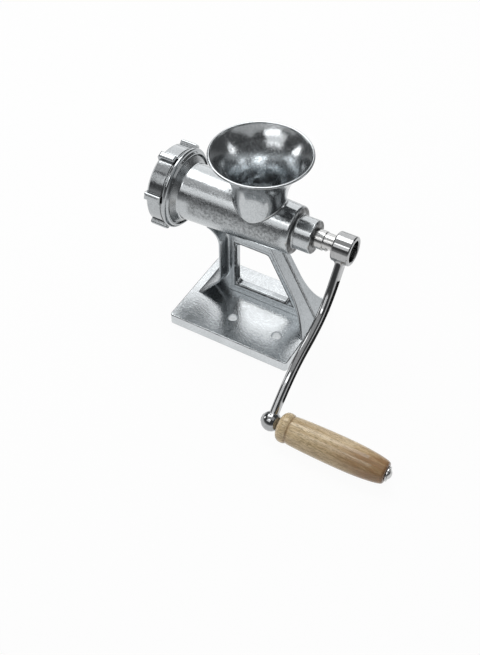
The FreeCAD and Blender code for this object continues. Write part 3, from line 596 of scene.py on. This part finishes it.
class GRINDER_OT_stage(bpy.types.Operator):
    """Set up the floor, the soft lamps, the world and the camera"""

    bl_idname = "grinder.stage"
    bl_label = "Stage"

    def execute(self, context):
        scene = context.scene
        stage = scene.grinder_stage
        scene.view_settings.view_transform = "Standard"
        self.floor(scene, stage)
        self.world(scene, stage)
        self.lamps(scene)
        self.camera(scene, stage)
        return {"FINISHED"}

    def floor(self, scene, stage):
        bm = bmesh.new()
        bmesh.ops.create_grid(bm, x_segments=1, y_segments=1, size=stage.floor_size / 2)
        bmesh.ops.translate(bm, verts=bm.verts, vec=(0.0, 0.0, -FLOOR_DROP))
        mesh = bpy.data.meshes.new("pale_floor")
        bm.to_mesh(mesh)
        bm.free()
        floor = bpy.data.objects.new("pale_floor", mesh)
        scene.collection.objects.link(floor)
        material, tree, shader = start_material("pale_floor")
        shader.inputs["Base Color"].default_value = (*stage.floor_colour, 1.0)
        shader.inputs["Roughness"].default_value = 0.9
        shader.inputs["Specular IOR Level"].default_value = 0.0
        glow = tree.nodes.new("ShaderNodeEmission")
        glow.inputs["Strength"].default_value = 1.0
        seen = tree.nodes.new("ShaderNodeLightPath")
        shown = combine(tree, "MAXIMUM", seen.outputs["Is Camera Ray"],
                        seen.outputs["Is Glossy Ray"])
        shown = combine(tree, "MAXIMUM", shown, seen.outputs["Is Transmission Ray"])
        away = axis_distance(tree, (1.0, 1.0, 0.0), PALE_MIDDLE)
        far = remap(tree, away, PALE_TO, GREY_FROM, 0.0, 1.0)
        pale = mix_colours(tree, far, (1.0, 1.0, 1.0), stage.horizon_colour)
        tree.links.new(pale, glow.inputs["Color"])
        blend = tree.nodes.new("ShaderNodeMixShader")
        tree.links.new(combine(tree, "MULTIPLY", shown, GLOW_SHARE), blend.inputs[0])
        tree.links.new(shader.outputs["BSDF"], blend.inputs[1])
        tree.links.new(glow.outputs["Emission"], blend.inputs[2])
        tree.links.new(blend.outputs["Shader"], tree.nodes["Material Output"].inputs["Surface"])
        mesh.materials.append(material)

    def world(self, scene, stage):
        world = bpy.data.worlds.new("studio")
        scene.world = world
        world.use_nodes = True
        tree = world.node_tree
        tree.nodes.clear()
        output = tree.nodes.new("ShaderNodeOutputWorld")
        sky = tree.nodes.new("ShaderNodeBackground")
        heading = tree.nodes.new("ShaderNodeTexCoord")
        rise = split(tree, heading.outputs["Generated"])["Z"]
        height = remap(tree, rise, 0.0, WALL_RISE, 0.0, 1.0)
        colour = mix_colours(tree, height, stage.horizon_colour, stage.room_colour)
        tree.links.new(colour, sky.inputs["Color"])
        tree.links.new(sky.outputs["Background"], output.inputs["Surface"])

    def lamps(self, scene):
        for name, heading, width, height, level in SOFT_BOXES:
            lamp = bpy.data.lights.new(name, "AREA")
            lamp.shape = "RECTANGLE"
            lamp.size = width
            lamp.size_y = height
            lamp.energy = level * width * height * math.pi
            holder = bpy.data.objects.new(name, lamp)
            scene.collection.objects.link(holder)
            back = Vector(heading).normalized()
            side = (Vector((1.0, 0.0, 0.0)) - back * back.x).normalized()
            turn = Matrix((side, back.cross(side), back)).transposed().to_4x4()
            holder.matrix_world = Matrix.Translation(LAMP_AIM + back * LAMP_DISTANCE) @ turn

    def camera(self, scene, stage):
        lens = bpy.data.cameras.new("photo_camera")
        lens.lens = stage.lens
        lens.sensor_width = SENSOR_WIDTH
        lens.clip_start = 0.01
        holder = bpy.data.objects.new("photo_camera", lens)
        scene.collection.objects.link(holder)
        az, el = stage.azimuth, stage.elevation
        heading = Vector((math.sin(az) * math.cos(el), -math.cos(az) * math.cos(el), math.sin(el)))
        holder.location = Vector(stage.aim) + heading * stage.distance
        holder.rotation_euler = (-heading).to_track_quat("-Z", "Y").to_euler()
        scene.camera = holder


class GRINDER_OT_casting(bpy.types.Operator):
    """Polish the hopper, barrel, ring nut and base plate"""

    bl_idname = "grinder.casting"
    bl_label = "Polished castings"

    def execute(self, context):
        finish = context.scene.grinder_finish
        # The barrel's turned faces towards the crank get painted shade.
        tube = buffed_metal("buffed_barrel", finish.polished, 0.14, 0.30, ALONG_BARREL,
                            finish.shade_and_grime, reach=0.008, panel=barrel_panel, more_painted_dark=painted_shoulder_shade)
        dress(tube, "barrel")
        # The ring's colour is 0.88 of the polished casting, painted shade.
        ring = buffed_metal("buffed_ring", shade(finish.polished, 0.88), 0.09, 0.19, ALONG_BARREL,
                            finish.shade_and_grime, reach=0.006)
        dress(ring, "ring_nut")
        # The throat panel's tone of 1.35 paints the lower inside lighter, a painted reflection.
        bowl = buffed_metal("buffed_hopper", finish.polished, 0.11, 0.23, (500.0, 500.0, 90.0),
                            finish.shade_and_grime, wave=0.00010, sand=0.00001, panel=throat_panel_painted_light,
                            panel_dull=0.05, panel_tone_and_painted_light=1.35, panel_depth=0.00003)
        dress(bowl, "hopper")
        # The plate's colour is lifted to 1.20 times the polished casting as painted light, and its
        # edges get painted dark reflections.
        slab = buffed_metal("buffed_plate", shade(finish.polished, 1.20), 0.10, 0.21,
                            (60.0, 900.0, 300.0), finish.shade_and_grime, wave=0.00008, sand=0.00011,
                            reach=0.0062, edge_dark=0.6, more_painted_dark=painted_edge_reflection)
        dress(slab, "base_plate")
        return {"FINISHED"}


class GRINDER_OT_thread(bpy.types.Operator):
    """Cut the coarse thread on the barrel's collar and inside the ring nut"""

    bl_idname = "grinder.thread"
    bl_label = "Collar and ring threads"

    def execute(self, context):
        finish = context.scene.grinder_finish
        thread = context.scene.grinder_thread
        metal = buffed_metal("cut_thread", finish.polished, 0.12, 0.26, (900.0, 60.0, 60.0),
                             finish.shade_and_grime, wave=0.00002, reach=0.002)
        outer = thread_ridge(thread, thread.start, COLLAR_TURNS, thread.collar_root,
                             thread.collar_crest)
        finish_piece(outer, "collar_thread", metal, "housing")
        inner = thread_ridge(thread, thread.start + thread.pitch / 2, RING_TURNS,
                             thread.ring_root, thread.ring_crest)
        finish_piece(inner, "ring_thread", metal, "ring")
        return {"FINISHED"}


class GRINDER_OT_stand(bpy.types.Operator):
    """Give the stand and the feed screw their as-cast grain"""

    bl_idname = "grinder.stand"
    bl_label = "Stand and feed screw"

    def execute(self, context):
        finish = context.scene.grinder_finish
        dress(cast_metal("as_cast", finish.as_cast, finish.shade_and_grime, seam=True), "stand")
        dress(cast_metal("cast_screw", finish.as_cast, finish.shade_and_grime, reach=0.003), "feed_screw")
        return {"FINISHED"}


class GRINDER_OT_steel(bpy.types.Operator):
    """Finish the shaft, cutting set and small steel pieces"""

    bl_idname = "grinder.steel"
    bl_label = "Steel pieces"

    def execute(self, context):
        finish = context.scene.grinder_finish
        steel = buffed_metal("ground_steel", finish.steel, 0.10, 0.26, ALONG_SHAFT, finish.shade_and_grime,
                             wave=0.00002)
        dress(steel, "drive_shaft", "cutting_plate", "cross_knife", "knife_stud", "plate_key",
              "thrust_washer", "grip_spindle", "end_washer")
        bronze = buffed_metal("bush_bronze", finish.bronze, 0.2, 0.34, ALONG_SHAFT, finish.shade_and_grime,
                              wave=0.00002)
        dress(bronze, "shaft_bush")
        return {"FINISHED"}


class GRINDER_OT_crank(bpy.types.Operator):
    """Plate the crank arm"""

    bl_idname = "grinder.crank"
    bl_label = "Crank arm"

    def execute(self, context):
        finish = context.scene.grinder_finish
        # The edge strength here paints dark reflections along the arm's edges.
        plated = buffed_metal("plated_crank", finish.chrome, 0.05, 0.13, (700.0, 120.0, 120.0),
                              finish.shade_and_grime, wave=0.00006, scratch=0.000003, pits=0.000006,
                              sand=0.000004, reach=0.008, ease=0.0010, edge_dark=0.85,
                              edge_dark_reach=0.0024)
        dress(plated, "crank_arm")
        return {"FINISHED"}


class GRINDER_OT_grip(bpy.types.Operator):
    """Turn the wooden grip on its spindle's axis"""

    bl_idname = "grinder.grip"
    bl_label = "Wooden grip"

    def execute(self, context):
        grip = context.scene.grinder_grip
        wood = turned_wood("grip_wood", context.scene.grinder_finish, grip)
        piece = finish_piece(self.turn(grip), "turned_grip", wood, "grip")
        soften = piece.modifiers.new("Rounded", "SUBSURF")
        soften.levels = soften.render_levels = GRIP_ROUNDING
        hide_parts("wood_grip")
        return {"FINISHED"}

    def turn(self, grip):
        """Spin the outline of collar, groove, belly and tip."""
        first, last = grip.start, grip.end
        groove = first + GROOVE_AT
        outline = (
            (first, grip.bore), (first, grip.bore + 0.0004),
            (first, 0.0080), (first + 0.0003, 0.0095),
            (first + 0.0018, grip.collar - 0.0010), (first + 0.0050, grip.collar),
            (first + 0.0080, grip.collar - 0.0003), (groove - 0.0006, grip.groove + 0.0004),
            (groove, grip.groove), (groove + 0.0006, grip.groove + 0.0003),
            (groove + 0.0020, grip.belly - 0.0009), (first + 0.0240, grip.belly - 0.0003),
            (first + 0.0420, grip.belly), (first + 0.0600, grip.belly),
            (first + 0.0700, grip.belly - 0.0004), (first + 0.0780, grip.belly - 0.0010),
            (last - 0.0090, grip.belly - 0.0018), (last - 0.0042, grip.tip),
            (last - 0.0012, grip.tip - 0.0008), (last, grip.tip - 0.0020),
            (last, grip.bore + 0.0004), (last, grip.bore))
        bm = bmesh.new()
        verts, edges = chain(bm, [(x, GRIP_Y, GRIP_Z + radius) for x, radius in outline])
        edges.append(bm.edges.new((verts[-1], verts[0])))
        bmesh.ops.spin(bm, geom=verts + edges, cent=(0.0, GRIP_Y, GRIP_Z), axis=(1.0, 0.0, 0.0),
                       angle=2 * math.pi, steps=GRIP_STEPS, use_merge=True)
        return bm


STEPS = (GRINDER_OT_stage, GRINDER_OT_casting, GRINDER_OT_thread, GRINDER_OT_stand,
         GRINDER_OT_steel, GRINDER_OT_crank, GRINDER_OT_grip)


class GRINDER_PT_sidebar(bpy.types.Panel):
    """Lists the steps that finish and stage the grinder"""

    bl_idname = "GRINDER_PT_sidebar"
    bl_label = "Meat grinder"
    bl_space_type = "VIEW_3D"
    bl_region_type = "UI"
    bl_category = "Grinder"

    def draw(self, context):
        for step in STEPS:
            self.layout.operator(step.bl_idname)


GROUPS = (("grinder_finish", GrinderFinish), ("grinder_thread", GrinderThread),
          ("grinder_grip", GrinderGrip), ("grinder_stage", GrinderStage))


def register():
    for name, group in GROUPS:
        bpy.utils.register_class(group)
        setattr(bpy.types.Scene, name, PointerProperty(type=group))
    for step in STEPS:
        bpy.utils.register_class(step)
    bpy.utils.register_class(GRINDER_PT_sidebar)


def unregister():
    bpy.utils.unregister_class(GRINDER_PT_sidebar)
    for step in reversed(STEPS):
        bpy.utils.unregister_class(step)
    for name, group in reversed(GROUPS):
        delattr(bpy.types.Scene, name)
        bpy.utils.unregister_class(group)


def main():
    register()
    bpy.ops.grinder.stage()
    bpy.ops.grinder.casting()
    bpy.ops.grinder.thread()
    bpy.ops.grinder.stand()
    bpy.ops.grinder.steel()
    bpy.ops.grinder.crank()
    bpy.ops.grinder.grip()


if __name__ == "__main__":
    main()
